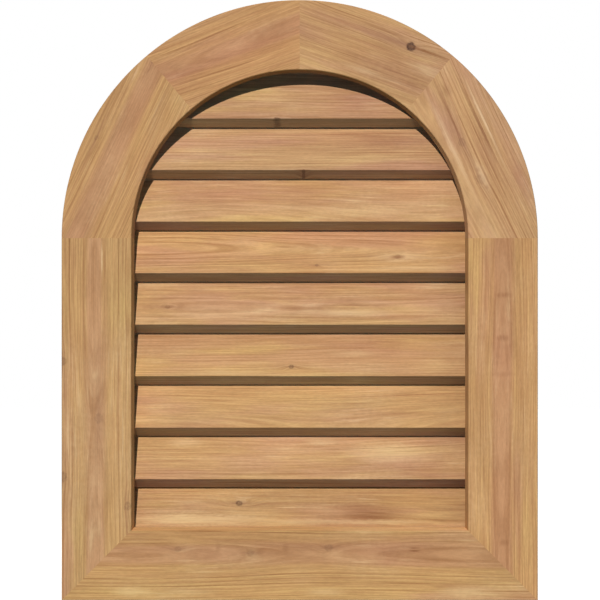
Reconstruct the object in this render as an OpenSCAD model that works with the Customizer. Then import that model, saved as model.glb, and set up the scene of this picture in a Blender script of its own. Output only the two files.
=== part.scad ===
// Round-top gable vent in softwood: seven face boards over a louvered box,
// with fixed louvers housed in the box and an insect screen on its back.
// The front faces -Y and +Z is up. The face boards' flat back lies in the
// plane y = 0, and the origin is the middle of the bottom rail's back.

/* [Overall] */
// Width over the face boards
vent_w = 609.6; // [560:0.1:680]
// Height of the springline, where the round top starts, above the bottom edge
spring_h = 463.55; // [430:0.05:600]

/* [Face boards] */
// Width of the face boards
face_w = 88.9; // [70:0.1:100]
// Thickness of the face boards
face_t = 19.05; // [15:0.05:26]
// How far the inner edge leans into the opening towards the back
face_splay = 3.8; // [1:0.1:8]
// Eased front arrises of the face boards
face_ease = 0.8; // [0.2:0.1:2]
// Angle above the springline of the joint between lower and upper arch boards
arch_joint_angle = 50; // [35:1:65]
// Depth of the rebate in the boards' back that takes the front of the box
rebate_depth = 3.175; // [2:0.005:6]
// Clearance round the box in the rebate
rebate_gap = 0.25; // [0.1:0.05:0.8]

/* [Louver box] */
// Thickness of the jambs and the curved head
jamb_t = 19.05; // [12:0.05:26]
// Depth of the box boards, from the bottom of the rebate to the back
box_depth = 88.9; // [82:0.1:110]
// How far the box's inside lies outside the front of the face opening
jamb_setback = 3.175; // [1:0.005:8]
// Fall of the sill towards the front, in degrees
sill_fall = 5; // [2:1:10]

/* [Louvers] */
// Drop from the crown of the face opening to the top louver's front arris
top_louver_drop = 62; // [50:0.05:80]
// Height from one louver's front arris to the next
louver_pitch = 66.15; // [60:0.05:72]
// Width of a louver board
louver_w = 88.9; // [80:0.1:92]
// Thickness of a louver board
louver_t = 24.2; // [12:0.1:26]
// Slope of the louvers above the horizontal, in degrees
louver_angle = 63; // [50:1:65]
// Distance of the front arris behind the plane of the wall
louver_inset = 5; // [2:0.5:16]
// Eased long arrises of the louvers
louver_ease = 0.4; // [0.2:0.1:1.5]
// Depth of the housings cut in the jambs for the ends of louvers and sill
housing_depth = 6.35; // [4:0.05:10]
// Clearance between a board and the sides of its housing
housing_gap = 0.2; // [0.1:0.05:0.5]
// Clearance between a board's end and the bottom of its housing
end_gap = 0.5; // [0.2:0.1:0.9]

/* [Insect screen] */
// Thickness of the screen cloth
screen_t = 1; // [0.5:0.1:2]
// How far the screen's edge stays inside the outline of the box
screen_inset = 3; // [1:0.5:8]
// Cells of the coarse grid, across the screen, that stands for its fine mesh
screen_cells = 11; // [6:1:12]
// Width of the bars between the cells
screen_bar = 2; // [1.5:0.1:4]
// Width of the battens that hold the screen
batten_w = 17; // [12:0.5:19]
// Thickness of the battens
batten_t = 6.35; // [4:0.05:12]

/* [Hidden] */
$fn = 96;
cut_margin = 5;
face_colour = [0.78, 0.60, 0.42];
box_colour = [0.72, 0.55, 0.38];
louver_colour = [0.80, 0.62, 0.43];
screen_colour = [0.55, 0.56, 0.57];
batten_colour = [0.74, 0.58, 0.41];

outer_r = vent_w / 2;
opening_r = outer_r - face_w;
box_inner_r = opening_r + jamb_setback;
box_outer_r = box_inner_r + jamb_t;
housing_r = box_inner_r + housing_depth;
// The box stands back from the outer edge by the same margin all round
box_bottom_h = outer_r - box_outer_r;
box_front_y = -rebate_depth;
box_back_y = box_front_y + box_depth;
screen_back_y = box_back_y + screen_t;
// The screen is open inside the battens
screen_open_r = box_outer_r - batten_w;
screen_low_h = box_bottom_h + batten_w;
screen_pitch = 2 * screen_open_r / screen_cells;
screen_rows = ceil((spring_h + screen_open_r - screen_low_h) / screen_pitch);
// The sill's front edge lies flush with the back of the splayed rail
sill_front_h = face_w + face_splay;
top_louver_h = spring_h + opening_r - top_louver_drop;
// Louvers go down until the front arris of the lowest is below the sill
louver_count = ceil((top_louver_h - sill_front_h) / louver_pitch) + 1;
// The origin is at mid-height of the bottom rail
datum_h = face_w / 2;

louver_numbers = [1:louver_count];

// ---- Setting out ----

// Heights are set out from the bottom edge and then moved to the origin
module from_bottom_edge() {
    translate([0, 0, -datum_h]) children();
}

// Extrudes an outline drawn in x and z along the depth, from y0 to y1
module through_depth(y0, y1) {
    translate([0, y1, 0]) rotate([90, 0, 0]) linear_extrude(y1 - y0) children();
}

// Extrudes a section drawn in y and z along the width, centred on x = 0
module across_width(length) {
    translate([-length / 2, 0, 0]) rotate([90, 0, 90]) linear_extrude(length) children();
}

// Sweeps a section, drawn as radius and distance forward, round the arch
module round_arch(from_angle, to_angle) {
    translate([0, 0, spring_h]) rotate([90, 0, 0])
        rotate([0, 0, from_angle]) rotate_extrude(angle = to_angle - from_angle) children();
}

// Round-top outline in x and z, with straight sides down to the given height
module round_top(radius, low_h) {
    translate([0, spring_h]) circle(r = radius);
    translate([-radius, low_h]) square([2 * radius, spring_h - low_h]);
}

// ---- Face boards ----

// Section of a face board as [distance from the centre line, distance forward
// of the wall]: square outside, splayed at the opening, rebated for the box
function face_section() = [
    [outer_r, 0],
    [outer_r, face_t - face_ease],
    [outer_r - face_ease, face_t],
    [opening_r + face_ease, face_t],
    [opening_r - face_splay * face_ease / (face_t - rebate_depth), face_t - face_ease],
    [opening_r - face_splay, rebate_depth],
    [box_outer_r + rebate_gap, rebate_depth],
    [box_outer_r + rebate_gap, 0]];

// The waste on one side of the mitre line at the right-hand bottom corner
module mitre_waste(above) {
    reach = face_w + face_splay + cut_margin;
    corner = above ? [outer_r + cut_margin, reach] : [outer_r - reach, -cut_margin];
    through_depth(-face_t - cut_margin, cut_margin)
        polygon([[outer_r + cut_margin, -cut_margin], [outer_r - reach, reach], corner]);
}

module face_stile() {
    color(face_colour) from_bottom_edge() difference() {
        linear_extrude(spring_h) polygon([for (p = face_section()) [p[0], -p[1]]]);
        mitre_waste(above = false);
    }
}

module face_stile_right() {
    face_stile();
}

module face_stile_left() {
    mirror([1, 0, 0]) face_stile();
}

module face_rail_bottom() {
    color(face_colour) from_bottom_edge() difference() {
        across_width(vent_w) polygon([for (p = face_section()) [-p[1], outer_r - p[0]]]);
        mitre_waste(above = true);
        mirror([1, 0, 0]) mitre_waste(above = true);
    }
}

module face_arch_board(from_angle, to_angle) {
    color(face_colour) from_bottom_edge()
        round_arch(from_angle, to_angle) polygon(face_section());
}

module face_arch_lower_right() {
    face_arch_board(0, arch_joint_angle);
}

module face_arch_upper_right() {
    face_arch_board(arch_joint_angle, 90);
}

module face_arch_upper_left() {
    face_arch_board(90, 180 - arch_joint_angle);
}

module face_arch_lower_left() {
    face_arch_board(180 - arch_joint_angle, 180);
}

// ---- Louvers ----

function louver_h(i) = top_louver_h - (i - 1) * louver_pitch;

// A point of a louver's section: along the slope from the front arris, and
// down through the board from its upper face
function louver_point(i, along, down) = [
    louver_inset + along * cos(louver_angle) + down * sin(louver_angle),
    louver_h(i) + along * sin(louver_angle) - down * cos(louver_angle)];

// Section of a louver in y and z, grown on every side by the given gap
module louver_section(i, gap) {
    low = -gap;
    high = louver_w + gap;
    face = -gap;
    under = louver_t + gap;
    ease = louver_ease;
    polygon([
        louver_point(i, low + ease, face), louver_point(i, high - ease, face),
        louver_point(i, high, face + ease), louver_point(i, high, under - ease),
        louver_point(i, high - ease, under), louver_point(i, low + ease, under),
        louver_point(i, low, under - ease), louver_point(i, low, face + ease)]);
}

// One louver: a sloping board whose ends follow the bottom of the housings,
// so the upper ones are cut round to fit the head and the lowest sits on the sill
module louver(i) {
    color(louver_colour) from_bottom_edge() difference() {
        intersection() {
            across_width(2 * housing_r) louver_section(i, 0);
            through_depth(box_front_y, box_back_y) round_top(housing_r - end_gap, 0);
        }
        if (louver_point(i, 0, louver_t)[1] < sill_front_h) sill_board(2 * housing_r, box_bottom_h);
    }
}

// ---- Louver box ----

// Sill with its top falling to the front
module sill_board(length, depth_below) {
    rise = box_depth * tan(sill_fall);
    across_width(length) polygon([
        [box_front_y, box_bottom_h - depth_below], [box_back_y, box_bottom_h - depth_below],
        [box_back_y, sill_front_h + rise], [box_front_y, sill_front_h]]);
}

// Housings for the ends of the louvers and the sill, in jambs and head alike
module housings() {
    difference() {
        intersection() {
            union() {
                for (i = louver_numbers)
                    across_width(2 * housing_r + cut_margin) louver_section(i, housing_gap);
            }
            through_depth(box_front_y, box_back_y) round_top(housing_r, 0);
        }
        sill_board(2 * housing_r + cut_margin, box_bottom_h);
    }
    sill_board(2 * housing_r, cut_margin);
}

module jamb() {
    color(box_colour) from_bottom_edge() difference() {
        translate([box_inner_r, box_front_y, box_bottom_h])
            cube([jamb_t, box_depth, spring_h - box_bottom_h]);
        housings();
    }
}

module jamb_right() {
    jamb();
}

module jamb_left() {
    mirror([1, 0, 0]) jamb();
}

// Half of the curved head, bent to the arch and housed like the jambs
module jamb_head() {
    color(box_colour) from_bottom_edge() difference() {
        round_arch(0, 90) translate([box_inner_r, -box_back_y]) square([jamb_t, box_depth]);
        housings();
    }
}

module jamb_head_right() {
    jamb_head();
}

module jamb_head_left() {
    mirror([1, 0, 0]) jamb_head();
}

module jamb_sill() {
    color(box_colour) from_bottom_edge() sill_board(2 * (housing_r - end_gap), 0);
}

// ---- Insect screen ----

// The open cells of the screen's grid, in x and z, cut off at the battens
module screen_openings() {
    intersection() {
        round_top(screen_open_r, screen_low_h);
        translate([screen_bar / 2 - screen_open_r, screen_low_h + screen_bar / 2])
            for (column = [0:screen_cells - 1], row = [0:screen_rows - 1])
                translate([column, row] * screen_pitch) square(screen_pitch - screen_bar);
    }
}

module insect_screen() {
    color(screen_colour) from_bottom_edge() through_depth(box_back_y, screen_back_y)
        difference() {
            round_top(box_outer_r - screen_inset, box_bottom_h + screen_inset);
            screen_openings();
        }
}

module batten_upright() {
    color(batten_colour) from_bottom_edge()
        translate([box_outer_r - batten_w, screen_back_y, box_bottom_h])
            cube([batten_w, batten_t, spring_h - box_bottom_h]);
}

module batten_right() {
    batten_upright();
}

module batten_left() {
    mirror([1, 0, 0]) batten_upright();
}

module batten_bottom() {
    length = 2 * (box_outer_r - batten_w);
    color(batten_colour) from_bottom_edge()
        translate([-length / 2, screen_back_y, box_bottom_h]) cube([length, batten_t, batten_w]);
}

module batten_arch() {
    color(batten_colour) from_bottom_edge() round_arch(0, 90)
        translate([box_outer_r - batten_w, -screen_back_y - batten_t]) square([batten_w, batten_t]);
}

module batten_arch_right() {
    batten_arch();
}

module batten_arch_left() {
    mirror([1, 0, 0]) batten_arch();
}

face_stile_left();
face_stile_right();
face_rail_bottom();
face_arch_lower_left();
face_arch_upper_left();
face_arch_upper_right();
face_arch_lower_right();
jamb_left();
jamb_right();
jamb_sill();
jamb_head_left();
jamb_head_right();
for (i = louver_numbers)
    louver(i);
insect_screen();
batten_left();
batten_right();
batten_bottom();
batten_arch_left();
batten_arch_right();
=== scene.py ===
# %% [markdown]
# # Round-top gable vent
# The vent is a flat frame of seven boards, mitred and butted round an arch, on a shallow
# box that holds nine sloping louvers and, on its back, wire cloth against insects. It is
# planed cedar without paint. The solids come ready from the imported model, so this lesson
# gives them their wood, adds the wire and the small fasteners, and lights them.

# %% Load the frame
import math
import random

import bpy
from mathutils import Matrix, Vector


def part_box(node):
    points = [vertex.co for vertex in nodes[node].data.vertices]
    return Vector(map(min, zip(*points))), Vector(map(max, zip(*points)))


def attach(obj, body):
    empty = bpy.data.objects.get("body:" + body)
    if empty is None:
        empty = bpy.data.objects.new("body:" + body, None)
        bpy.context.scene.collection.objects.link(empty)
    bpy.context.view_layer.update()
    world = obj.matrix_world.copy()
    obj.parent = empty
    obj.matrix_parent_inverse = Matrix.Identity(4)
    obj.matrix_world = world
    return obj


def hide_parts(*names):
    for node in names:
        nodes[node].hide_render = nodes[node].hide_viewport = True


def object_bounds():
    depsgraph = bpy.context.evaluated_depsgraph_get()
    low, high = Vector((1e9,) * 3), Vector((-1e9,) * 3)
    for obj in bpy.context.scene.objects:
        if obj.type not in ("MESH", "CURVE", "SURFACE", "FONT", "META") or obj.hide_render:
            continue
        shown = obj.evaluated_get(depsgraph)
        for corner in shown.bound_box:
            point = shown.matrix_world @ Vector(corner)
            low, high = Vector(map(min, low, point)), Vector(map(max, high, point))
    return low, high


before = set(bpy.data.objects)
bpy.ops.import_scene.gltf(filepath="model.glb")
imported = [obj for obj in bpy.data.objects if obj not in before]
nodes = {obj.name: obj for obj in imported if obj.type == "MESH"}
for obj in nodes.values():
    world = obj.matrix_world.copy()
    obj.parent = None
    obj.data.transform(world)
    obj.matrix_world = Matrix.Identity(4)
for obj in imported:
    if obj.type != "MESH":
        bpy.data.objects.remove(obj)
cad_low, cad_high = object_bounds()
centre = (cad_low + cad_high) / 2

# %% [markdown]
# The sizes that the extra pieces need are read from the boxes of the nodes. The jambs end
# at the springline, where the round top starts, so they give its height, and the outside
# of the box is also the outside of its curved head.

# %% Sizes read from the nodes
MM = 0.001
_, jamb_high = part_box("jamb_right")
spring_z = jamb_high.z
box_radius = jamb_high.x
face_radius = cad_high.x
batten_low, batten_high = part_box("batten_right")
screen_low, screen_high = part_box("insect_screen")
arch_centre = Vector((0, 0, spring_z))
louver_names = sorted((n for n in nodes if n.startswith("louver_")), key=lambda n: int(n[7:]))
print("springline at", round(spring_z, 4), "m, louvers:", len(louver_names))

# %% [markdown]
# ## Camera
# The vent is seen square on from far away, so the boards keep the same width all round
# and the louvers show nothing of the box's sides. A long lens gives that: the distance
# sets the lens, and the picture is as wide as the vent is high, so the vent fills it from
# top to bottom. The camera stands a hair to the right of the middle and above it.

# %% Camera
CAMERA_DISTANCE = 8.0
PICTURE_WIDTH = 0.7680
SIDE_STEP = 0.00034
RISE = 0.00016


def in_scene(name, data):
    """Makes an object from its data and puts it into the scene."""
    thing = bpy.data.objects.new(name, data)
    bpy.context.scene.collection.objects.link(thing)
    return thing


camera_data = bpy.data.cameras.new("camera")
camera_data.sensor_width = 36
camera_data.lens = camera_data.sensor_width * CAMERA_DISTANCE / PICTURE_WIDTH
camera = in_scene("camera", camera_data)
camera.location = (SIDE_STEP, cad_low.y - CAMERA_DISTANCE, centre.z + RISE)
camera.rotation_euler = (math.radians(90), 0, 0)
bpy.context.scene.camera = camera
print("lens", round(camera_data.lens, 1), "mm")

# %% [markdown]
# ## Light
# The shadows are crisp and run down and a little to the right, as under a clear sky. A sun
# lamp gives that with one direction and one small disc. Two soft lamps behind light the
# back of the vent for the other views. They are too low for their light to come through
# between the louvers, which rise towards the back.

# %% Lamps
bpy.context.scene.view_settings.view_transform = "Standard"
SUNLIGHT_RUNS = Vector((0.115, 1.0, -0.395))
SUN_STRENGTH = 3.15
SUN_DISC_DEGREES = 0.6
BACK_LAMP_SIDE = 1.2
LAMP_COLOUR = (1.0, 0.94, 0.88)


def aimed(lamp, direction):
    """Turns a lamp so that it shines along a direction."""
    lamp.rotation_euler = direction.to_track_quat("-Z", "Y").to_euler()


sun_data = bpy.data.lights.new("sun", "SUN")
sun_data.energy = SUN_STRENGTH
sun_data.angle = math.radians(SUN_DISC_DEGREES)
aimed(in_scene("sun", sun_data), SUNLIGHT_RUNS)


def back_lamp(name, place, watts):
    """A soft, slightly warm square lamp that looks at the middle of the vent."""
    data = bpy.data.lights.new(name, "AREA")
    data.size = BACK_LAMP_SIDE
    data.energy = watts
    data.color = LAMP_COLOUR
    lamp = in_scene(name, data)
    lamp.location = place
    aimed(lamp, centre - Vector(place))
    lamp.visible_camera = False


back_lamp("back_lamp_left", (-1.9, 2.2, 0.9), 70)
back_lamp("back_lamp_right", (1.9, 2.0, 1.1), 54)

# %% [markdown]
# ## Sums of nodes
# Wood is drawn with shader nodes, and a tree of nodes is easier to read as sums than as
# links. These helpers make one node each and hand back its output. A value may be a plain
# number or the output of another node.


# %% Sums of nodes
def join(tree, value, socket):
    """Links an output to a socket, or writes a plain number or colour into it."""
    if isinstance(value, bpy.types.NodeSocket):
        tree.links.new(value, socket)
    else:
        socket.default_value = value


def filled(tree, kind, **inputs):
    """A node of a kind with its inputs filled in."""
    node = tree.nodes.new(kind)
    for name, value in inputs.items():
        join(tree, value, node.inputs[name])
    return node


def maths(tree, operation, *values):
    """One Math node."""
    node = tree.nodes.new("ShaderNodeMath")
    node.operation = operation
    for value, socket in zip(values, node.inputs):
        join(tree, value, socket)
    return node.outputs[0]


def times(tree, first, second):
    """One number multiplied by another."""
    return maths(tree, "MULTIPLY", first, second)


def vectors(tree, operation, first, second=None, scale=None):
    """One Vector Math node; the dot product and the length come out as numbers."""
    node = tree.nodes.new("ShaderNodeVectorMath")
    node.operation = operation
    join(tree, first, node.inputs[0])
    if second is not None:
        join(tree, second, node.inputs[1])
    if scale is not None:
        join(tree, scale, node.inputs["Scale"])
    number = operation in ("DOT_PRODUCT", "LENGTH")
    return node.outputs["Value" if number else "Vector"]


def combine(tree, x, y, z):
    """A vector from three numbers."""
    return filled(tree, "ShaderNodeCombineXYZ", X=x, Y=y, Z=z).outputs[0]


def separate(tree, vector):
    """The three numbers of a vector."""
    return filled(tree, "ShaderNodeSeparateXYZ", Vector=vector).outputs


print("sums:", [f.__name__ for f in (maths, times, vectors, combine, separate)])

# %% [markdown]
# ## Noise and steps
# What isn't regular comes from noise. It is stretched for wood, with few blobs along the
# grain and many across it. Ramps and bells turn it, or a distance, into soft edges, and a
# blend lays one colour over another.


# %% Noise and steps
def noise(tree, point, detail=2.0, roughness=0.5):
    """Smooth noise about 0.5 whose blobs are about one unit wide."""
    node = filled(tree, "ShaderNodeTexNoise", Vector=point, Scale=1.0, Detail=detail,
                  Roughness=roughness)
    return node.outputs["Fac"]


def grained(tree, point, per_metre, **more):
    """Noise with its own number of blobs per metre along, across and through."""
    return noise(tree, vectors(tree, "MULTIPLY", point, per_metre), **more)


def swing(tree, value, width):
    """Noise about 0.5 turned into noise about 0 that stays inside a width."""
    return maths(tree, "MULTIPLY_ADD", value, width, -width / 2)


def bell(tree, distance):
    """1 in the middle, falling softly to 0 about two units away."""
    square = maths(tree, "POWER", distance, 2.0)
    return maths(tree, "EXPONENT", times(tree, square, -1.0))


def ramp(tree, value, low, high, out_low=0.0, out_high=1.0):
    """Smooth step from out_low to out_high while the value goes from low to high."""
    node = tree.nodes.new("ShaderNodeMapRange")
    node.interpolation_type = "SMOOTHSTEP"
    for value_in, socket in zip((value, low, high, out_low, out_high), node.inputs):
        join(tree, value_in, socket)
    return node.outputs[0]


def blend(tree, factor, first, second):
    """A colour between two others."""
    node = tree.nodes.new("ShaderNodeMix")
    node.data_type = "RGBA"
    join(tree, factor, node.inputs[0])
    join(tree, first, node.inputs[6])
    join(tree, second, node.inputs[7])
    return node.outputs[2]


print("soft steps:", [f.__name__ for f in (noise, grained, swing, bell, ramp, blend)])

# %% [markdown]
# ## Surfaces and paint
# A surface has a colour, a direction that it faces, and small bumps. Colours are easiest
# to choose as on a paint chart, but light adds up on another scale, so they are converted.


# %% Surfaces and paint
def facing(tree, arrow):
    """1 where the surface faces along an arrow, 0 square to it, -1 where it faces back."""
    normal = tree.nodes.new("ShaderNodeNewGeometry").outputs["Normal"]
    return vectors(tree, "DOT_PRODUCT", normal, tuple(arrow))


def shaded(name):
    """A new material with its node tree and its surface shader."""
    material = bpy.data.materials.new(name)
    material.use_nodes = True
    return material, material.node_tree, material.node_tree.nodes.get("Principled BSDF")


def bumped(tree, shader, height, strength, depth):
    """Presses a height from 0 to 1 into the surface."""
    bump = filled(tree, "ShaderNodeBump", Strength=strength, Distance=depth, Height=height)
    join(tree, bump.outputs[0], shader.inputs["Normal"])


def painted(red, green, blue):
    """A colour written as on a paint chart, 0 to 255, as the shader needs it."""
    def linear(value):
        value = value / 255
        return value / 12.92 if value <= 0.04045 else ((value + 0.055) / 1.055) ** 2.4
    return (linear(red), linear(green), linear(blue), 1.0)


WHITE = (1, 1, 1, 1)
print("middle grey of the chart in the shader:", round(painted(128, 128, 128)[0], 3))

# %% [markdown]
# ## White surroundings and floor
# The vent stands before plain white. The world is white where the camera, a reflection or
# a see-through surface looks at it, and dim where it lights the wood, because the shadows
# are deep. The floor is treated in the same way, but keeps a part that takes light, so the
# vent's shadow still shows on it.

# %% World and floor
SKY_LIGHT = 0.1
SKY_TINT = (0.45, 1.2, 1.5, 1)
FLOOR_HALF = 14.0
FLOOR_GLOW = 0.9
FLOOR_SEEN = (0.3, 0.3, 0.3, 1)
FLOOR_TO_LIGHT = (0.13, 0.34, 0.52, 1)


def seen_directly(tree):
    """1 for camera, mirror and see-through rays, 0 for the light that falls on things."""
    path = tree.nodes.new("ShaderNodeLightPath")
    seen = maths(tree, "MAXIMUM", path.outputs["Is Camera Ray"], path.outputs["Is Glossy Ray"])
    return maths(tree, "MAXIMUM", seen, path.outputs["Is Transmission Ray"])


world = bpy.data.worlds.new("world")
bpy.context.scene.world = world
world.use_nodes = True
sky = world.node_tree
background = sky.nodes["Background"]
sky_seen = seen_directly(sky)
sky_colour = blend(sky, sky_seen, SKY_TINT, WHITE)
join(sky, sky_colour, background.inputs["Color"])
sky_strength = maths(sky, "MULTIPLY_ADD", sky_seen, 1 - SKY_LIGHT, SKY_LIGHT)
join(sky, sky_strength, background.inputs["Strength"])


def floor_material():
    """White to look at, apart from shadows, and a dull surface to the light."""
    material, tree, _ = shaded("floor_white")
    tree.nodes.clear()
    glow = filled(tree, "ShaderNodeEmission", Strength=FLOOR_GLOW)
    lit = filled(tree, "ShaderNodeBsdfDiffuse", Color=FLOOR_SEEN)
    both = tree.nodes.new("ShaderNodeAddShader")
    join(tree, glow.outputs[0], both.inputs[0])
    join(tree, lit.outputs[0], both.inputs[1])
    dull = filled(tree, "ShaderNodeBsdfDiffuse", Color=FLOOR_TO_LIGHT)
    choose = filled(tree, "ShaderNodeMixShader", Fac=seen_directly(tree))
    join(tree, dull.outputs[0], choose.inputs[1])
    join(tree, both.outputs[0], choose.inputs[2])
    filled(tree, "ShaderNodeOutputMaterial", Surface=choose.outputs[0])
    return material


floor_mesh = bpy.data.meshes.new("floor")
floor_corners = [(-1, -1), (1, -1), (1, 1), (-1, 1)]
floor_mesh.from_pydata([(x * FLOOR_HALF, y * FLOOR_HALF, cad_low.z) for x, y in floor_corners],
                       [], [(0, 1, 2, 3)])
floor_mesh.materials.append(floor_material())
floor = in_scene("floor", floor_mesh)
print("floor at", round(cad_low.z, 4), "m")

# %% [markdown]
# ## Cedar
# A board is cut out of a log, so the way to draw its grain is to draw the log: yearly
# rings round a pith line that wanders a little along the tree. Where the saw runs flat
# through the rings they come out as wide flames, and where it runs across them as close
# straight lines, on the faces, the edges and the end grain alike. In each ring the pale
# early wood darkens to a thin late line, in some years more than in others.

# %% Yearly rings
YEARS_UNEVEN = 1.6
LATE_FROM = 0.55
LATE_DARKEST = 0.88
LATE_TO = 0.92


def ringwise(tree, along, radius, scale_along, scale_out, offset):
    """A point for noise that follows the rings: streaks run along the tree and round it."""
    return combine(tree, times(tree, along, scale_along), times(tree, radius, scale_out), offset)


def late_wood(tree, along, radius, ring_width):
    """How dark the late line is at a distance from the pith, 0 between the lines."""
    uneven = noise(tree, ringwise(tree, along, radius, 1.5, 130, 3.7), detail=1.0)
    years = maths(tree, "ADD", maths(tree, "DIVIDE", radius, ring_width),
                  times(tree, uneven, YEARS_UNEVEN))
    year = maths(tree, "FLOOR", years)
    part = maths(tree, "SUBTRACT", years, year)
    dice = tree.nodes.new("ShaderNodeTexWhiteNoise")
    dice.noise_dimensions = "1D"
    join(tree, year, dice.inputs["W"])
    strong = maths(tree, "POWER", dice.outputs["Value"], 1.6)
    line = times(tree, ramp(tree, part, LATE_FROM, LATE_DARKEST),
                 ramp(tree, part, LATE_TO, 1.0, 1.0, 0.0))
    return times(tree, line, maths(tree, "MULTIPLY_ADD", strong, 0.9, 0.1))


print("late wood takes", round(1 - LATE_FROM, 2), "of each ring")

# %% [markdown]
# Noise that follows the rings adds the soft honey and rose streaks, and finer noise the
# fibres. The whole log is one node group, so every board can be cut from another place in
# it, with its own pith, width of ring and share of rose.

# %% The log as a node group
LOG_SOCKETS = [
    ("INPUT", "NodeSocketVector", ("Place in log", "Cut shift")),
    ("INPUT", "NodeSocketFloat", ("Pith across", "Pith depth", "Ring width", "Ring push",
                                  "Rose share", "Ring contrast", "Heart half-width", "Fine lines")),
    ("OUTPUT", "NodeSocketColor", ("Color",)),
    ("OUTPUT", "NodeSocketFloat", ("Roughness", "Height"))]
HONEY = painted(214, 167, 110)
ROSE = painted(203, 151, 111)
DEEP_STREAK = painted(178, 122, 76)
LATE_WOOD = painted(148, 97, 56)
PALE_FLECK = painted(232, 190, 140)
PITH_SWAY = 0.009
PITH_DRIFT = 0.02
HEART_RAGGED = 0.016
NARROW_SHARE = 0.42
FINE_SHARE = 0.4
PALE_SHARE = 0.75
MOTTLE_SHARE = 0.3
DARKEST = 0.547
FIBRE_LIGHT = 0.44
CLOUD_LIGHT = 0.42


def cedar_log():
    """The node group: where a point lies in the log, in metres, to colour and height."""
    tree = bpy.data.node_groups.new("cedar_log", "ShaderNodeTree")
    for way, kind, names in LOG_SOCKETS:
        for name in names:
            tree.interface.new_socket(name=name, in_out=way, socket_type=kind)
    given = tree.nodes.new("NodeGroupInput").outputs
    shifted = vectors(tree, "ADD", given["Place in log"], given["Cut shift"])
    _, across, depth = separate(tree, given["Place in log"])
    along = separate(tree, shifted)[0]

    def stretched(sx, sy, sz, **more):
        return grained(tree, shifted, (sx, sy, sz), **more)

    # The pith wanders sideways and in depth along the tree
    sway = swing(tree, stretched(3.5, 6, 6, detail=1.5), PITH_SWAY)
    drift = swing(tree, stretched(2.2, 1, 1, detail=1.0), PITH_DRIFT)
    side = maths(tree, "ADD", maths(tree, "SUBTRACT", across, given["Pith across"]), sway)
    deep = maths(tree, "ADD", maths(tree, "ADD", depth, given["Pith depth"]), drift)
    pushed = times(tree, given["Ring push"], given["Ring width"])
    distance = vectors(tree, "LENGTH", combine(tree, side, deep, 0.0))
    radius = maths(tree, "ADD", distance, pushed)

    # The late lines come and go along the tree
    late = times(tree, late_wood(tree, along, radius, given["Ring width"]),
                 ramp(tree, stretched(9, 60, 60, detail=1.0), 0.25, 0.6))

    # Streaks follow the rings: broad ones change the hue, narrow ones the depth of colour
    def streaks(sx, sr, offset, **more):
        return noise(tree, ringwise(tree, along, radius, sx, sr, offset), **more)

    broad = maths(tree, "ADD", times(tree, streaks(1.8, 70, 1.3, detail=4.0), 0.2),
                  times(tree, stretched(4, 24, 24, detail=4.0), 0.8))
    rose = ramp(tree, maths(tree, "ADD", broad, given["Rose share"]), 0.65, 0.81)
    ragged = swing(tree, streaks(3, 260, 5.3, detail=3.0), HEART_RAGGED)
    outside = maths(tree, "ADD", maths(tree, "ABSOLUTE", side), ragged)
    inside = maths(tree, "SUBTRACT", given["Heart half-width"], outside)
    heart = ramp(tree, inside, -0.004, 0.005, 0.0, 0.85)
    rose = maths(tree, "MAXIMUM", rose, heart)
    narrow = ramp(tree, streaks(5, 300, 7.9, detail=3.0, roughness=0.6), 0.3, 0.7)
    fine = ramp(tree, streaks(14, 850, 4.1, detail=2.0, roughness=0.6), 0.3, 0.7)
    fibres = times(tree, stretched(110, 2200, 2200, detail=2.0), 0.5)
    fibres = maths(tree, "MULTIPLY_ADD", stretched(170, 720, 720, detail=1.5), 0.65, fibres)
    clouds = stretched(6, 22, 22, detail=3.0)
    patches = ramp(tree, stretched(9, 24, 24), 0.42, 0.7)
    pale = times(tree, ramp(tree, streaks(16, 620, 11.3, detail=3.0), 0.55, 0.78), patches)
    mottle = times(tree, stretched(160, 110, 110, detail=2.0), patches)

    colour = blend(tree, rose, HONEY, ROSE)
    colour = blend(tree, times(tree, late, given["Ring contrast"]), colour, LATE_WOOD)
    deep_share = maths(tree, "MULTIPLY_ADD", narrow, -NARROW_SHARE, NARROW_SHARE)
    colour = blend(tree, deep_share, colour, DEEP_STREAK)
    dark_share = maths(tree, "MULTIPLY_ADD", fine, -FINE_SHARE, FINE_SHARE)
    colour = blend(tree, dark_share, colour, LATE_WOOD)
    colour = blend(tree, times(tree, pale, PALE_SHARE), colour, PALE_FLECK)
    colour = blend(tree, times(tree, mottle, MOTTLE_SHARE), colour, PALE_FLECK)
    tone = maths(tree, "ADD", maths(tree, "MULTIPLY_ADD", fibres, FIBRE_LIGHT, DARKEST),
                 times(tree, clouds, CLOUD_LIGHT))
    # Fine straight lines run with the tree, whatever the rings do
    lines = maths(tree, "SUBTRACT", stretched(9, 620, 620, detail=1.5), 0.5)
    tone = maths(tree, "MULTIPLY_ADD", lines, given["Fine lines"], tone)
    colour = vectors(tree, "SCALE", colour, scale=tone)

    rough = maths(tree, "MULTIPLY_ADD", narrow, 0.2, 0.6)
    height = maths(tree, "ADD", times(tree, fibres, 0.6), times(tree, late, 0.8))
    result = tree.nodes.new("NodeGroupOutput").inputs
    for name, value in (("Color", colour), ("Roughness", rough), ("Height", height)):
        join(tree, value, result[name])
    return tree


CEDAR_LOG = cedar_log()
print("cedar_log has", len(CEDAR_LOG.nodes), "nodes")

# %% [markdown]
# ## Knots
# A knot is a branch that the board's face cuts across. It shows as a small dark disc with
# a darker rim, the rings part to flow round it, and a stain runs out of it along the
# grain. Each knot is written down as its place on the board, measured from the middle of
# the board along and across the grain, with its radius, how dark it is and how far it
# stains.

# %% Knots
KNOT_HEART = painted(82, 52, 38)
KNOT_STAIN = painted(146, 98, 74)


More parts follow.
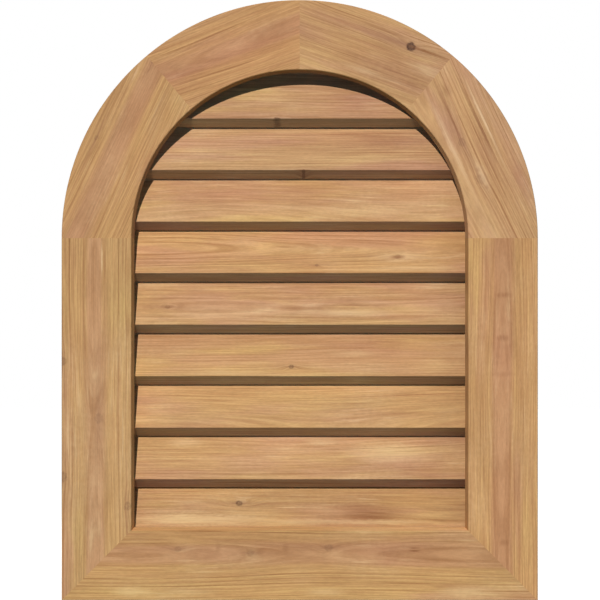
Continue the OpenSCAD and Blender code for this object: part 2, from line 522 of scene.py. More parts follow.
def oval_about(tree, place, along, across, ragged):
    """A function that gives the distance from a place on the board, in half-axes."""
    place_along, place_across, _ = separate(tree, place)
    run = maths(tree, "SUBTRACT", place_along, along)
    uneven = swing(tree, grained(tree, place, (150, 420, 420)), ragged)
    step = maths(tree, "ADD", maths(tree, "SUBTRACT", place_across, across), uneven)

    def oval(length, width):
        flat = combine(tree, maths(tree, "DIVIDE", run, length),
                       maths(tree, "DIVIDE", step, width), 0.0)
        return vectors(tree, "LENGTH", flat)

    return oval


def knot_marks(tree, place, knot):
    """(ring push, stain, heart) of one knot at (along, across), each 0 away from it."""
    along, across, radius, darkness, stain_length = knot
    oval = oval_about(tree, place, along, across, radius * 0.9)
    push = bell(tree, oval(stain_length * 0.45, radius * 1.5))
    smear = oval(stain_length, radius * 0.9)
    stain = maths(tree, "EXPONENT", times(tree, smear, -1.6))
    disc = oval(radius * 1.15, radius)
    heart = times(tree, ramp(tree, disc, 0.7, 1.2, 1.0, 0.0),
                  ramp(tree, disc, 0.2, 0.75, 0.75, 1.0))
    speckle = grained(tree, place, (500, 900, 900))
    rim = times(tree, heart, ramp(tree, speckle, 0.3, 0.6, 0.3 + 0.5 * darkness, 1.0))
    return (times(tree, push, 1.8 * darkness),
            times(tree, stain, 0.35 + 0.4 * darkness),
            times(tree, rim, darkness))


print("knot colour in the shader:", [round(v, 3) for v in KNOT_HEART[:3]])

# %% [markdown]
# ## Marks and washes
# A mark is a longer patch in the grain: a dark one is stained and a pale one is resin-free.
# A wash is broader and softer still: a part of the board that is rosier and deeper than the
# rest, or more honey-coloured and paler. A mark blends towards its own colour, while a wash
# multiplies the wood under it, so the grain shows through.

# %% Marks and washes
DARK_STREAK = painted(138, 86, 50)
ROSY_WASH = (0.79, 0.68, 0.73, 1)
HONEY_WASH = (1.27, 1.45, 1.38, 1)


def grain_mark(tree, place, mark):
    """How strong a patch in the grain is: 0 away from it, and broken up by the fibres."""
    along, across, half_length, half_width, strength = mark
    oval = oval_about(tree, place, along, across, half_width)
    inside = ramp(tree, oval(half_length, half_width), 0.1, 1.3, 1.0, 0.0)
    broken = ramp(tree, grained(tree, place, (25, 900, 900)), 0.38, 0.62, 0.5, 1.0)
    return times(tree, times(tree, inside, broken), abs(strength))


def washed(tree, colour, place, washes):
    """A colour with its soft washes: rosier where the strength is above 0, paler below it."""
    place_along, place_across, _ = separate(tree, place)
    uneven = swing(tree, grained(tree, place, (30, 150, 150), detail=3.0), 2.0)
    for along, across, half_length, half_width, strength in washes:
        run = maths(tree, "MULTIPLY_ADD", place_along, 1 / half_length, -along / half_length)
        step = maths(tree, "MULTIPLY_ADD", place_across, 1 / half_width, -across / half_width)
        away = vectors(tree, "LENGTH", combine(tree, run, maths(tree, "ADD", step, uneven), 0.0))
        tint = ROSY_WASH if strength > 0 else HONEY_WASH
        share = times(tree, bell(tree, away), abs(strength))
        colour = vectors(tree, "MULTIPLY", colour, blend(tree, share, WHITE, tint))
    return colour


print("a full rosy wash keeps", ROSY_WASH[0], "of the red")

# %% [markdown]
# ## A board's wood
# Every board needs its own directions: along the grain, across the face and through the
# thickness. A straight board has three fixed arrows. A strip that was bent round the arch
# has grain that bends with it, so its place is measured as an angle and a radius. The cut
# ends, where the arrow along the grain points out of the surface, drink light and look
# darker, as end grain does. Painted light and shade also go by the way a surface faces.


# %% Places and surfaces
UPRIGHT = Vector((0, 0, 1))
INWARD = Vector((0, 1, 0))
# painted light on surfaces that face up
PAINTED_TOP_LIGHT = (1.9, 2.0, 2.22, 1)
# painted light in the shaded gap behind each louver's front
PAINTED_GAP_LIGHT = (1.3, 1.5, 1.6, 1)
DARK_RUN = 0.08
DARK_END = 0.8


def straight_place(tree, middle, along, across):
    """The place of a point in a straight board, from the middle of the board."""
    point = tree.nodes.new("ShaderNodeTexCoord").outputs["Object"]
    offset = vectors(tree, "SUBTRACT", point, tuple(middle))
    parts = [vectors(tree, "DOT_PRODUCT", offset, tuple(arrow))
             for arrow in (along, across, along.cross(across))]
    return combine(tree, *parts)


def bent_place(tree):
    """The place of a point in a strip bent round the arch."""
    point = tree.nodes.new("ShaderNodeTexCoord").outputs["Object"]
    x, y, z = separate(tree, vectors(tree, "SUBTRACT", point, tuple(arch_centre)))
    turn = times(tree, maths(tree, "ARCTAN2", z, x), box_radius)
    reach = vectors(tree, "LENGTH", combine(tree, x, 0.0, z))
    return combine(tree, turn, y, maths(tree, "SUBTRACT", reach, box_radius))


def end_grain(tree, along):
    """1 on the cut ends of a straight board, 0 on its faces and edges."""
    return ramp(tree, maths(tree, "ABSOLUTE", facing(tree, along)), 0.55, 0.95)


def painted_light_and_shade(tree, colour, cut):
    """Paints light on what faces up, and shade on the sawn edges and on what faces down."""
    up = facing(tree, UPRIGHT)
    on_edge = ramp(tree, maths(tree, "ABSOLUTE", facing(tree, INWARD)), 0.3, 0.42, 1.0, 0.0)
    # painted light on what faces up
    above = blend(tree, ramp(tree, up, 0.6, 0.97), WHITE, PAINTED_TOP_LIGHT)
    # painted shade on the sawn edges
    edge = blend(tree, on_edge, WHITE, cut["edge"])
    # painted shade on what faces down
    below = blend(tree, ramp(tree, up, -0.9, -0.3, 1.0, 0.0), WHITE, cut["painted_underside_shade"])
    shade = vectors(tree, "MULTIPLY", vectors(tree, "MULTIPLY", above, edge), below)
    return vectors(tree, "MULTIPLY", colour, shade)


def painted_gap_light_dark_end(tree, colour, place, cover):
    """Painted light on a louver's front where it lies in the shaded gap, and darker at its far end.
    """
    open_to, covered_from, far_end = cover
    place_along, place_across, _ = separate(tree, place)
    # painted light where the front lies in the shaded gap
    gap_light = times(tree, ramp(tree, place_across, open_to, covered_from),
                  ramp(tree, facing(tree, INWARD), -0.2, 0.3, 1.0, 0.0))
    dark = ramp(tree, place_along, far_end - DARK_RUN, far_end, 1.0, DARK_END)
    paler = vectors(tree, "MULTIPLY", colour, blend(tree, gap_light, WHITE, PAINTED_GAP_LIGHT))
    return vectors(tree, "SCALE", paler, scale=dark)


print("fresh wood is", PAINTED_GAP_LIGHT[:3], "times the open colour")

# %% [markdown]
# One function puts all of this together. It takes the wood from the log, parts the rings
# round the knots and lays the stains, marks and washes over it. Then it paints light and
# shade by the way the surface faces, paints light into the shaded gap behind each louver,
# darkens a louver's far end, and gives the surface its dull gloss and its raised grain.


# %% Wood for one board
END_GRAIN_LOSS = 0.3
WOOD_GLOSS = 0.15
GRAIN_STRENGTH = 0.35
GRAIN_HEIGHT = 0.15 * MM


def cedar(name, cut, place_from, along=None):
    """A wood material: cut holds the facts of the board, along its grain where it is straight."""
    material, tree, shader = shaded("cedar_" + name)
    place = place_from(tree)
    log = tree.nodes.new("ShaderNodeGroup")
    log.node_tree = CEDAR_LOG
    join(tree, place, log.inputs["Place in log"])
    for socket, value in cut["log"].items():
        log.inputs[socket].default_value = value
    colour = log.outputs["Color"]
    push = 0.0
    for knot in cut["knots"]:
        knot_push, stain, heart = knot_marks(tree, place, knot)
        push = maths(tree, "ADD", push, knot_push)
        colour = blend(tree, stain, colour, KNOT_STAIN)
        colour = blend(tree, heart, colour, KNOT_HEART)
    join(tree, push, log.inputs["Ring push"])
    for mark in cut["marks"]:
        tint = DARK_STREAK if mark[-1] > 0 else PALE_FLECK
        colour = blend(tree, grain_mark(tree, place, mark), colour, tint)
    if cut["washes"]:
        colour = washed(tree, colour, place, cut["washes"])
    colour = vectors(tree, "MULTIPLY", colour, cut["tone"])
    if along is not None:
        dark_ends = maths(tree, "MULTIPLY_ADD", end_grain(tree, along), -END_GRAIN_LOSS, 1.0)
        colour = vectors(tree, "SCALE", colour, scale=dark_ends)
    colour = painted_light_and_shade(tree, colour, cut)
    if cut["cover"] is not None:
        colour = painted_gap_light_dark_end(tree, colour, place, cut["cover"])
    join(tree, colour, shader.inputs["Base Color"])
    join(tree, log.outputs["Roughness"], shader.inputs["Roughness"])
    shader.inputs["Specular IOR Level"].default_value = WOOD_GLOSS
    bumped(tree, shader, log.outputs["Height"], GRAIN_STRENGTH, GRAIN_HEIGHT)
    return material


print("raised grain:", round(GRAIN_HEIGHT / MM, 2), "mm at most")

# %% [markdown]
# ## Cutting the boards
# Each board gets its own cut of the log. What is left to chance comes from one seeded
# generator, so it is the same in every run, and what gives a board its character, such as
# a knot or a rosy heart, is written down. The joiner turns the grain along each board: up
# the stiles, across the rail, and for the arch boards along their chords.

# %% Cuts and directions
SEED = 24
LOG_REACH = 20
PITH_SIDE = 0.05
PITH_DEPTHS = (0.03, 0.09)
RING_WIDTH = 3.4 * MM
chance = random.Random(SEED)


# edge and underside are painted shade for the sawn edges and for what faces down
def cut_from_log(tone, rose=0.18, ring_width=RING_WIDTH, pith_across=None, pith_depth=None,
                 heart=-0.02, contrast=0.9, lines=0.0, knots=(), marks=(), washes=(),
                 edge=(0.85, 0.82, 0.8, 1), painted_underside_shade=(0.63, 0.56, 0.34, 1)):
    """The facts of one board's cut. Its place in the log is left to chance, and so is the
    pith's where it isn't given."""
    shift = tuple(chance.uniform(-LOG_REACH, LOG_REACH) for _ in range(3))
    side = chance.uniform(-PITH_SIDE, PITH_SIDE)
    depth = chance.uniform(*PITH_DEPTHS)
    log = {
        "Cut shift": shift, "Rose share": rose, "Ring width": ring_width,
        "Pith across": side if pith_across is None else pith_across,
        "Pith depth": depth if pith_depth is None else pith_depth,
        "Heart half-width": heart, "Ring contrast": contrast, "Fine lines": lines}
    return {"log": log, "tone": tone, "knots": knots, "marks": marks, "washes": washes,
            "edge": edge, "painted_underside_shade": painted_underside_shade, "cover": None}


def heading(degrees):
    """An arrow in the plane of the face, turned up from the right by an angle."""
    return Vector((math.cos(math.radians(degrees)), 0, math.sin(math.radians(degrees))))


def dressed(node, material):
    """Puts a material on a CAD node."""
    for slot in nodes[node].material_slots:
        slot.material = material


def lay_wood(node, cut, along, across):
    """Puts a straight board's wood on a CAD node."""
    low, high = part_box(node)
    middle = (low + high) / 2
    dressed(node, cedar(node, cut, lambda tree: straight_place(tree, middle, along, across), along))


def bend_wood(node, cut):
    """Puts the wood of a strip bent round the arch on a CAD node."""
    dressed(node, cedar(node, cut, bent_place))


print("up and to the right:", [round(v, 3) for v in heading(45)])

# %% [markdown]
# ### Face boards
# The table gives for each board the turn of its grain and the facts of its cut. A knot is
# (along, across, radius, darkness, length of its stain), in metres from the middle of the
# board. A mark or a wash is (along, across, half its length, half its width, strength).
# Above 0 it is darker or rosier, and below 0 paler.

# %% Face boards
# each board's edge factor is painted shade on its sawn edges
FACE_BOARDS = {
    "face_stile_left": (90, dict(
        tone=(0.936, 0.917, 0.889), rose=0.16, pith_across=0.004, pith_depth=0.022,
        heart=0.012, lines=0.4, edge=(0.93, 0.88, 0.81, 1),
        knots=[(-0.074, 0.045, 0.006, 0.35, 0.05), (0.074, 0.045, 0.005, 0.35, 0.04),
               (0.001, -0.001, 0.006, 0.2, 0.06), (-0.111, -0.038, 0.005, 0.3, 0.04)],
        marks=[(0.118, -0.039, 0.022, 0.005, 0.45), (0.206, -0.005, 0.022, 0.0012, -0.9)],
        washes=[(-0.139, 0.032, 0.035, 0.012, -0.45), (0.075, 0.032, 0.05, 0.012, 0.4),
                (0.144, -0.032, 0.035, 0.012, -0.55), (0.088, -0.011, 0.03, 0.01, 0.35),
                (0.205, 0.034, 0.03, 0.012, 0.5)])),
    "face_stile_right": (90, dict(
        tone=(0.944, 0.871, 0.834), rose=0.14, pith_across=-0.001, pith_depth=0.014,
        heart=0.013, edge=(0.845, 0.81, 0.785, 1),
        marks=[(0.159, -0.002, 0.004, 0.011, 0.5), (0.104, -0.002, 0.005, 0.011, 0.35),
               (0.058, 0.0, 0.004, 0.019, 0.25), (-0.158, -0.003, 0.005, 0.008, 0.4)],
        washes=[(0.088, 0.0, 0.045, 0.018, 0.55), (0.19, 0.032, 0.055, 0.012, -0.5),
                (-0.138, -0.031, 0.045, 0.012, -0.35)])),
    "face_rail_bottom": (0, dict(
        tone=(0.92, 0.89, 0.83), rose=0.14, pith_across=0.012, pith_depth=0.024,
        heart=0.014,
        knots=[(-0.156, 0.019, 0.004, 0.2, 0.03), (-0.063, 0.014, 0.004, 0.2, 0.03),
               (0.037, 0.021, 0.005, 0.25, 0.03)],
        marks=[(0.147, 0.0206, 0.009, 0.0013, 1.0), (0.147, 0.017, 0.008, 0.0012, 1.0),
               (-0.105, 0.021, 0.004, 0.009, 0.3), (-0.018, 0.021, 0.005, 0.01, 0.3),
               (-0.215, -0.035, 0.025, 0.007, -0.4), (-0.14, -0.035, 0.035, 0.006, -0.35),
               (0.032, -0.036, 0.03, 0.006, -0.35), (0.209, -0.036, 0.035, 0.007, -0.4)],
        washes=[(-0.1, 0.03, 0.22, 0.012, 0.4), (0.112, 0.018, 0.045, 0.02, 0.7),
                (-0.112, 0.01, 0.04, 0.01, 0.4), (0.0, -0.036, 0.3, 0.012, -0.2),
                (0.25, -0.036, 0.05, 0.012, -0.5), (-0.22, -0.036, 0.06, 0.012, -0.3)])),
    "face_arch_lower_left": (65, dict(
        tone=(0.874, 0.814, 0.789), rose=0.12, pith_across=0.012, pith_depth=0.03,
        heart=0.014, contrast=0.5, lines=0.4,
        knots=[(-0.006, 0.041, 0.003, 0.25, 0.05), (0.112, 0.017, 0.0015, 0.3, 0.02)],
        washes=[(-0.013, -0.035, 0.025, 0.012, 0.6), (0.084, -0.035, 0.03, 0.012, -0.45)])),
    "face_arch_upper_left": (20, dict(
        tone=(0.94, 0.849, 0.84), rose=0.06, pith_across=0.006, pith_depth=0.035,
        heart=0.013, contrast=0.55, lines=0.25,
        washes=[(-0.065, -0.01, 0.03, 0.012, 0.7), (0.03, -0.01, 0.07, 0.012, 0.4),
                (-0.045, 0.013, 0.035, 0.01, -0.35)])),
    "face_arch_upper_right": (160, dict(
        tone=(0.921, 0.875, 0.903), rose=0.2, pith_across=0.07,
        knots=[(-0.038, -0.026, 0.0056, 1.0, 0.05)],
        marks=[(-0.064, -0.0265, 0.03, 0.0024, 1.0), (-0.065, -0.004, 0.027, 0.008, -0.4),
               (0.011, 0.0236, 0.03, 0.005, -0.45), (0.0015, -0.034, 0.03, 0.002, 0.6),
               (-0.056, 0.0196, 0.02, 0.006, 0.3)],
        washes=[(-0.055, -0.034, 0.04, 0.014, -0.7), (-0.066, -0.013, 0.02, 0.012, -0.5),
                (-0.025, 0.01, 0.055, 0.012, 0.8), (0.075, 0.033, 0.04, 0.012, -0.4)])),
    "face_arch_lower_right": (115, dict(
        tone=(0.965, 0.937, 1.01), rose=0.2, pith_across=0.03, pith_depth=0.03,
        knots=[(0.011, 0.009, 0.005, 0.2, 0.05), (-0.042, 0.008, 0.006, 0.2, 0.05)],
        marks=[(0.049, 0.0086, 0.055, 0.002, 0.7), (0.038, -0.0203, 0.057, 0.002, 0.7),
               (0.0, -0.02, 0.035, 0.003, 0.5), (0.08, 0.0, 0.012, 0.006, 0.5),
               (-0.03, 0.006, 0.004, 0.003, 0.5), (-0.0545, 0.0046, 0.004, 0.003, 0.5),
               (0.022, -0.028, 0.064, 0.002, -0.8), (0.014, 0.0236, 0.07, 0.004, -0.6),
               (-0.038, 0.003, 0.025, 0.006, -0.5)],
        washes=[(-0.061, -0.039, 0.03, 0.012, 0.85), (-0.013, -0.014, 0.03, 0.012, 0.5),
                (0.065, -0.039, 0.05, 0.012, -0.5)]))}
for node, (degrees, facts) in FACE_BOARDS.items():
    lay_wood(node, cut_from_log(**facts), heading(degrees), heading(degrees + 90))
print("face boards:", len(FACE_BOARDS))

# %% [markdown]
# ### Louvers
# The louvers slope, so the arrow across their face climbs with them. Most of a louver is
# its two broad faces, so the biggest face of one gives that arrow. Light is painted into
# the shade of the gap where each front lies behind the louver above. The top louver lies in
# the shadow of the frame's head instead, and its painted light grows little by little towards its
# top.

# %% Louvers
RIGHTWARD = Vector((1, 0, 0))
broad_face = max(nodes["louver_5"].data.polygons, key=lambda face: face.area)
louver_across = broad_face.normal.cross(RIGHTWARD)
if louver_across.z < 0:
    louver_across.negate()
print("louver slope", round(math.degrees(math.asin(louver_across.z)), 1), "degrees")
# each louver's underside factor is painted shade on its lower faces
LOUVERS = {
    "louver_1": dict(
        tone=(0.95, 0.98, 1.03), rose=0.3, pith_across=0.06, painted_underside_shade=(0.82, 0.9, 0.775, 1),
        knots=[(-0.029, -0.0455, 0.006, 0.65, 0.03)],
        washes=[(-0.055, -0.008, 0.05, 0.012, -0.8), (0.075, -0.01, 0.035, 0.012, 0.8),
                (0.07, -0.031, 0.06, 0.01, 0.25)]),
    "louver_2": dict(
        tone=(0.931, 0.932, 1.06), rose=0.18, pith_across=0.05, painted_underside_shade=(0.77, 0.75, 0.7, 1),
        knots=[(0.005, -0.0455, 0.002, 0.6, 0.015)],
        washes=[(0.115, -0.003, 0.075, 0.013, 0.9), (-0.11, -0.02, 0.06, 0.02, -0.35),
                (0.075, -0.03, 0.045, 0.01, -0.4)]),
    "louver_3": dict(
        tone=(1.02, 1.05, 1.03), rose=0.22, pith_across=-0.06, contrast=0.2,
        painted_underside_shade=(0.675, 0.63, 0.685, 1),
        washes=[(-0.14, 0.0, 0.09, 0.015, 0.75), (0.01, 0.0, 0.07, 0.015, 0.6),
                (0.0, -0.03, 0.22, 0.013, -0.4)]),
    "louver_4": dict(
        tone=(1.04, 1.02, 1.02), rose=0.2, pith_across=-0.0095, pith_depth=0.014, contrast=1.0,
        painted_underside_shade=(0.67, 0.72, 0.81, 1),
        knots=[(0.126, -0.021, 0.0035, 0.4, 0.05), (0.022, -0.033, 0.002, 0.4, 0.02)],
        marks=[(0.132, -0.021, 0.034, 0.008, -0.5), (0.126, -0.021, 0.01, 0.0036, 0.9),
               (-0.022, -0.0066, 0.02, 0.002, 0.5), (0.146, -0.0375, 0.06, 0.004, -0.4)],
        washes=[(-0.06, -0.004, 0.12, 0.014, -0.3), (0.01, -0.03, 0.05, 0.012, 0.35)]),
    "louver_5": dict(
        tone=(0.98, 0.99, 1.02), rose=0.22, pith_across=-0.02, pith_depth=0.015, lines=0.2,
        painted_underside_shade=(0.74, 0.81, 0.9, 1),
        knots=[(-0.17, -0.019, 0.003, 0.3, 0.04)],
        marks=[(-0.17, -0.019, 0.012, 0.003, 0.6), (0.07, -0.0168, 0.05, 0.0018, 0.6),
               (0.059, -0.028, 0.06, 0.0065, -0.6)],
        washes=[(0.0, -0.003, 0.06, 0.014, 0.65), (-0.12, -0.03, 0.09, 0.012, -0.5),
                (0.026, -0.032, 0.03, 0.01, 0.45)]),
    "louver_6": dict(
        tone=(1.01, 1.04, 0.98), rose=0.26, pith_across=0.06, painted_underside_shade=(0.74, 0.8, 0.85, 1),
        knots=[(-0.011, -0.031, 0.003, 0.6, 0.03)],
        marks=[(0.068, -0.012, 0.035, 0.006, -0.35), (-0.1, -0.04, 0.08, 0.006, -0.3)],
        washes=[(0.1, -0.003, 0.06, 0.013, 0.6), (0.18, -0.03, 0.035, 0.012, -0.6)]),
    "louver_7": dict(
        tone=(1.0, 0.99, 1.0), rose=0.16, pith_across=-0.05, contrast=0.65, lines=0.2,
        painted_underside_shade=(0.74, 0.78, 0.84, 1),
        marks=[(0.065, -0.01, 0.04, 0.0014, 0.5)],
        washes=[(0.0, -0.003, 0.06, 0.013, -0.35), (-0.14, -0.03, 0.08, 0.012, -0.4),
                (0.07, -0.03, 0.05, 0.012, 0.5)]),
    "louver_8": dict(
        tone=(0.99, 0.998, 1.02), rose=0.24, pith_across=0.05, painted_underside_shade=(0.635, 0.695, 0.86, 1),
        marks=[(-0.147, 0.0078, 0.025, 0.007, -0.5), (0.028, 0.0085, 0.022, 0.006, -0.4),
               (0.117, -0.008, 0.055, 0.018, -0.45)],
        washes=[(0.08, 0.0, 0.1, 0.012, -0.5), (0.02, -0.03, 0.1, 0.012, 0.35),
                (0.15, -0.03, 0.06, 0.012, 0.75)]),
    "louver_9": dict(
        tone=(0.902, 0.902, 0.883), rose=0.2, pith_across=-0.06, lines=0.35,
        painted_underside_shade=(0.76, 0.84, 0.84, 1),
        knots=[(-0.078, -0.0135, 0.004, 0.7, 0.05)],
        marks=[(0.07, -0.0055, 0.14, 0.016, 0.32), (0.094, -0.03, 0.045, 0.01, 0.6),
               (0.094, -0.018, 0.045, 0.0024, 0.6),
               (-0.128, -0.037, 0.1, 0.012, -0.75), (0.0, -0.04, 0.05, 0.005, -0.5),
               (0.09, -0.04, 0.08, 0.004, -0.6)],
        washes=[(-0.17, -0.03, 0.06, 0.012, -0.45), (0.08, -0.03, 0.03, 0.012, 0.6)])}
# painted light in the gap's shade, and on the top louver in the shadow of the head
PAINTED_LIGHT_UNDER_LOUVER = (14.6 * MM, 15.4 * MM)
PAINTED_LIGHT_IN_HEAD_SHADOW = (0.0, 45 * MM)
for node in louver_names:
    cut = cut_from_log(**LOUVERS[node])
    _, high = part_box(node)
    covered = PAINTED_LIGHT_IN_HEAD_SHADOW if node == "louver_1" else PAINTED_LIGHT_UNDER_LOUVER
    cut["cover"] = (*covered, high.x)
    lay_wood(node, cut, RIGHTWARD, louver_across)
print("louvers:", len(louver_names))

# %% [markdown]
# ### Box and battens
# The box is plainer planed stock, so chance alone chooses where it was cut. Its jambs run
# upright, and the two halves of the head are bent, as are the battens that follow them.

# %% Box and battens
BOX_TONE = (0.9, 0.9, 0.9)
BATTEN_TONE = (0.96, 0.96, 0.96)
BENT_TONE = (0.92, 0.92, 0.92)
# painted shade on the undersides of the bent head and battens
BENT_UNDERSIDE_SHADE = (0.665, 0.46, 0.29, 1)
CLOSE_RINGS = 3 * MM
STRAIGHT_STRIPS = [
    ("jamb_left", BOX_TONE, RING_WIDTH, UPRIGHT, INWARD),
    ("jamb_right", BOX_TONE, RING_WIDTH, UPRIGHT, INWARD),
    ("jamb_sill", BOX_TONE, RING_WIDTH, RIGHTWARD, INWARD),
    ("batten_left", BATTEN_TONE, CLOSE_RINGS, UPRIGHT, RIGHTWARD),
    ("batten_right", BATTEN_TONE, CLOSE_RINGS, UPRIGHT, RIGHTWARD),
    ("batten_bottom", BATTEN_TONE, CLOSE_RINGS, RIGHTWARD, UPRIGHT)]
for node, tone, ring_width, along, across in STRAIGHT_STRIPS:
    lay_wood(node, cut_from_log(tone, ring_width=ring_width), along, across)
for node in ("jamb_head_left", "jamb_head_right", "batten_arch_left", "batten_arch_right"):
    bend_wood(node, cut_from_log(BENT_TONE, ring_width=CLOSE_RINGS, painted_underside_shade=BENT_UNDERSIDE_SHADE))
print("materials:", len([m for m in bpy.data.materials if m.name.startswith("cedar_")]))

# %% [markdown]
# ## Metal
# The wire cloth is aluminium and the nails are zinc-coated steel. Both are grey, with a
# soft mottled gloss, so one function makes them from a shade.


# %% Grey metal
DARK_PATCH = 0.72
PATCHES_PER_METRE = 260


def grey_metal(name, shade):
    """Bare metal: mottled grey, a little rough."""
    material, tree, shader = shaded(name)
    point = tree.nodes.new("ShaderNodeTexCoord").outputs["Object"]
    patches = noise(tree, vectors(tree, "SCALE", point, scale=PATCHES_PER_METRE), detail=3.0)
    dark = painted(*(round(v * DARK_PATCH) for v in shade))
    colour = blend(tree, ramp(tree, patches, 0.35, 0.65), dark, painted(*shade))
    join(tree, colour, shader.inputs["Base Color"])
    join(tree, ramp(tree, patches, 0.3, 0.7, 0.34, 0.52), shader.inputs["Roughness"])
    shader.inputs["Metallic"].default_value = 1.0
    bumped(tree, shader, patches, 0.3, 0.05 * MM)
    return material


wire_aluminium = grey_metal("aluminium_wire", (176, 180, 184))
nail_zinc = grey_metal("zinc_nail", (158, 160, 162))
print("metals:", wire_aluminium.name, nail_zinc.name)

# %% [markdown]
# ## Pieces from lists
# The wire and the fasteners are many small shapes of one kind. A mesh can be built from
# plain lists of corners and faces, and all shapes of one kind go into one mesh.


# %% Shape collector
class Shapes:
    """Collects corners and faces of many small shapes for one mesh."""

    def __init__(self):
        self.corners = []
        self.faces = []

    def rings(self, axis, circles, sides):
        """Joins circles about one axis, given as (middle, radius); returns the first corners."""
        side = axis.orthogonal().normalized()
        up = axis.cross(side)
        starts = []
        for middle, radius in circles:
            starts.append(len(self.corners))
            for i in range(sides):
                turn = 2 * math.pi * i / sides
                arm = math.cos(turn) * side + math.sin(turn) * up
                self.corners.append(middle + radius * arm)
        for a, b in zip(starts, starts[1:]):
            for i in range(sides):
                j = (i + 1) % sides
                self.faces.append((a + i, a + j, b + j, b + i))
        return starts

    def tube(self, start, end, radius, sides):
        """A straight wire with closed ends."""
        axis = (end - start).normalized()
        first, last = self.rings(axis, [(start, radius), (end, radius)], sides)
        self.faces.append(tuple(first + i for i in reversed(range(sides))))
        self.faces.append(tuple(last + i for i in range(sides)))

    def turned(self, place, out, profile, sides):
        """A shape turned on a lathe: profile is (radius, height) pairs, outermost first."""
        circles = [(place + out * height, radius) for radius, height in profile]
        last = self.rings(out, circles, sides)[-1]
        self.faces.append(tuple(last + i for i in range(sides)))

    def piece(self, name, material):
        """Makes the mesh, on the only body."""
        mesh = bpy.data.meshes.new(name)
        mesh.from_pydata([tuple(c) for c in self.corners], [], self.faces)
        mesh.update()
        mesh.materials.append(material)
        for face in mesh.polygons:
            face.use_smooth = len(face.vertices) == 4
        thing = in_scene(name, mesh)
        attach(thing, "root")
        print(name, len(mesh.polygons), "faces")
        return thing


trial = Shapes()
trial.tube(Vector((0, 0, 0)), UPRIGHT, 1.0, 6)
print("a six-sided wire has", len(trial.faces), "faces")

# %% [markdown]
# ## Insect screen
# The back of the box is closed with wire cloth of about eight wires to the inch. The
# upright wires lie on one side and the level ones on the other and touch where they
# cross. Each wire is a thin six-sided tube, cut off at the round-top outline.

# %% Insect screen
WIRE_PITCH = 3.175 * MM
WIRE_RADIUS = 0.22 * MM
WIRE_SIDES = 6
screen_radius = screen_high.x - WIRE_RADIUS
screen_middle_y = (screen_low.y + screen_high.y) / 2
cloth = Shapes()
count_across = int(screen_radius / WIRE_PITCH)
for step in range(-count_across, count_across + 1):
    x = step * WIRE_PITCH
    top = spring_z + math.sqrt(screen_radius ** 2 - x ** 2)
    y = screen_middle_y - WIRE_RADIUS
    cloth.tube(Vector((x, y, screen_low.z)), Vector((x, y, top)), WIRE_RADIUS, WIRE_SIDES)
count_up = int((screen_high.z - screen_low.z) / WIRE_PITCH)
for step in range(1, count_up):
    z = screen_low.z + step * WIRE_PITCH
    rise = max(0.0, z - spring_z)
    half = math.sqrt(screen_radius ** 2 - rise ** 2)
    y = screen_middle_y + WIRE_RADIUS
    cloth.tube(Vector((-half, y, z)), Vector((half, y, z)), WIRE_RADIUS, WIRE_SIDES)
screen_cloth = cloth.piece("screen_wire_cloth", wire_aluminium)
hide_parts("insect_screen")

# %% [markdown]
# ## Nails
# Nails through the jambs and the head hold the ends of the louvers and of the sill. Only
# their heads show: a low button with a small dimple. So a head is a profile, turned about
# the nail, and it is written as pairs of radius and height. The left side of the vent
# mirrors the right one. A louver's nail that would come down on the springline, where the
# head meets the jamb, is left out.

# %% Nails
NAIL_HEAD = [(2.3 * MM, -0.3 * MM), (2.3 * MM, 0.15 * MM), (1.9 * MM, 0.35 * MM),
             (0.9 * MM, 0.3 * MM), (0.7 * MM, 0.22 * MM)]
HEAD_SIDES = 14
SHARES_OF_LOUVER = (0.3, 0.62)
SHARES_OF_SILL = (0.15, 0.5, 0.85)
SILL_NAIL_RISE = 14 * MM
CLEAR_OF_JOINT = 6 * MM


def on_box(y, z):
    """The point of the box's outside at a depth and a height, and the way it faces."""
    if z <= spring_z:
        return Vector((box_radius, y, z)), Vector((1, 0, 0))
    x = math.sqrt(box_radius ** 2 - (z - spring_z) ** 2)
    out = Vector((x, 0, z - spring_z)).normalized()
    return Vector((x, y, z)), out


def both_sides(shapes, place, out, profile):
    """The same head on the right and, mirrored, on the left."""
    for side in (1, -1):
        flip = Vector((side, 1, 1))
        shapes.turned(place * flip, out * flip, profile, HEAD_SIDES)


nails = Shapes()
for node in louver_names:
    low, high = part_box(node)
    for share in SHARES_OF_LOUVER:
        y = low.y + (high.y - low.y) * share
        z = low.z + (high.z - low.z) * share
        if abs(z - spring_z) > CLEAR_OF_JOINT:
            both_sides(nails, *on_box(y, z), NAIL_HEAD)
sill_low, sill_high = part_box("jamb_sill")
for share in SHARES_OF_SILL:
    y = sill_low.y + (sill_high.y - sill_low.y) * share
    both_sides(nails, *on_box(y, sill_low.z + SILL_NAIL_RISE), NAIL_HEAD)
nails.piece("box_nails", nail_zinc)

# %% [markdown]
# ## Brads
# Brads are finer nails, and hold the battens down over the cloth. They stand evenly along
# the middle of each batten, and their heads are driven almost level with the wood.

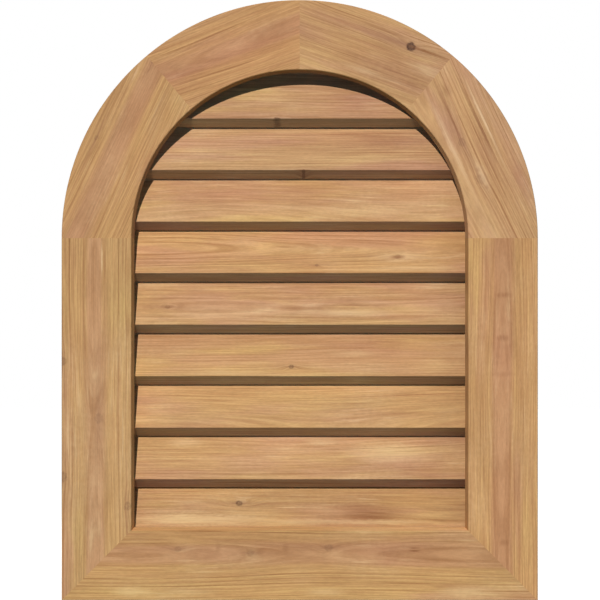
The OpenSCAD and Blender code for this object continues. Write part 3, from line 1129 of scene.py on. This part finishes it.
# %% Brads
BRAD_HEAD = [(1.1 * MM, -0.3 * MM), (1.1 * MM, 0.01 * MM), (0.85 * MM, 0.05 * MM),
             (0.35 * MM, 0.02 * MM)]
BRAD_SPACING = 0.085
FIRST_BRAD = 0.03
UPRIGHT_BRADS = 5
ARCH_BRADS = 9
BOTTOM_BRADS = 3
brads = Shapes()
batten_middle = (batten_low.x + batten_high.x) / 2
for step in range(UPRIGHT_BRADS):
    z = batten_low.z + FIRST_BRAD + step * BRAD_SPACING
    both_sides(brads, Vector((batten_middle, batten_high.y, z)), INWARD, BRAD_HEAD)
for step in range(ARCH_BRADS):
    turn = math.radians(90) * (step + 0.5) / ARCH_BRADS
    place = arch_centre + batten_middle * Vector((math.cos(turn), 0, math.sin(turn)))
    both_sides(brads, Vector((place.x, batten_high.y, place.z)), INWARD, BRAD_HEAD)
bottom_low, bottom_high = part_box("batten_bottom")
bottom_middle = (bottom_low.z + bottom_high.z) / 2
for step in range(BOTTOM_BRADS):
    x = FIRST_BRAD + step * BRAD_SPACING
    both_sides(brads, Vector((x, bottom_high.y, bottom_middle)), INWARD, BRAD_HEAD)
brads.piece("batten_brads", nail_zinc)

# %% [markdown]
# ## Joint fasteners
# The face boards are glued end to end, and behind each joint two corrugated fasteners
# are driven across it, almost level with the wood. What shows of one is a thin wavy line
# of steel, so it is a ribbon that waves from side to side, a hair proud of the back.

# %% Joint fasteners
FASTENER_LENGTH = 25 * MM
FASTENER_WAVES = 4
STEPS_IN_A_WAVE = 8
WAVE_HEIGHT = 1.3 * MM
STRIP_HALF = 0.25 * MM
SUNK = -0.4 * MM
PROUD = 0.08 * MM
SHARES_OF_BOARD = (0.28, 0.72)
ARCH_JOINTS = (0, 50, 90, 130, 180)


def fastener(shapes, middle, run):
    """One corrugated fastener: middle on the back face, run across the joint."""
    side = run.cross(INWARD)
    steps = FASTENER_WAVES * STEPS_IN_A_WAVE
    first = len(shapes.corners)
    for step in range(steps + 1):
        share = step / steps
        wave = WAVE_HEIGHT * math.sin(2 * math.pi * FASTENER_WAVES * share)
        spine = middle + run * (share - 0.5) * FASTENER_LENGTH + side * wave
        for offset, depth in ((-1, SUNK), (-1, PROUD), (1, PROUD), (1, SUNK)):
            shapes.corners.append(spine + side * offset * STRIP_HALF + INWARD * depth)
    for step in range(steps):
        a = first + step * 4
        for i in range(3):
            shapes.faces.append((a + i, a + i + 1, a + i + 5, a + i + 4))
    shapes.faces.append((first, first + 1, first + 2, first + 3))
    last = first + steps * 4
    shapes.faces.append((last + 3, last + 2, last + 1, last))


joint_strips = Shapes()
for share in SHARES_OF_BOARD:
    radius = box_radius + (face_radius - box_radius) * share
    for degrees in ARCH_JOINTS:
        arm = heading(degrees)
        fastener(joint_strips, arch_centre + arm * radius, heading(degrees + 90))
    corner = Vector((radius, 0, cad_low.z + face_radius - radius))
    fastener(joint_strips, corner, heading(45))
    fastener(joint_strips, Vector((-corner.x, 0, corner.z)), heading(135))
joint_strips.piece("joint_fasteners", nail_zinc)
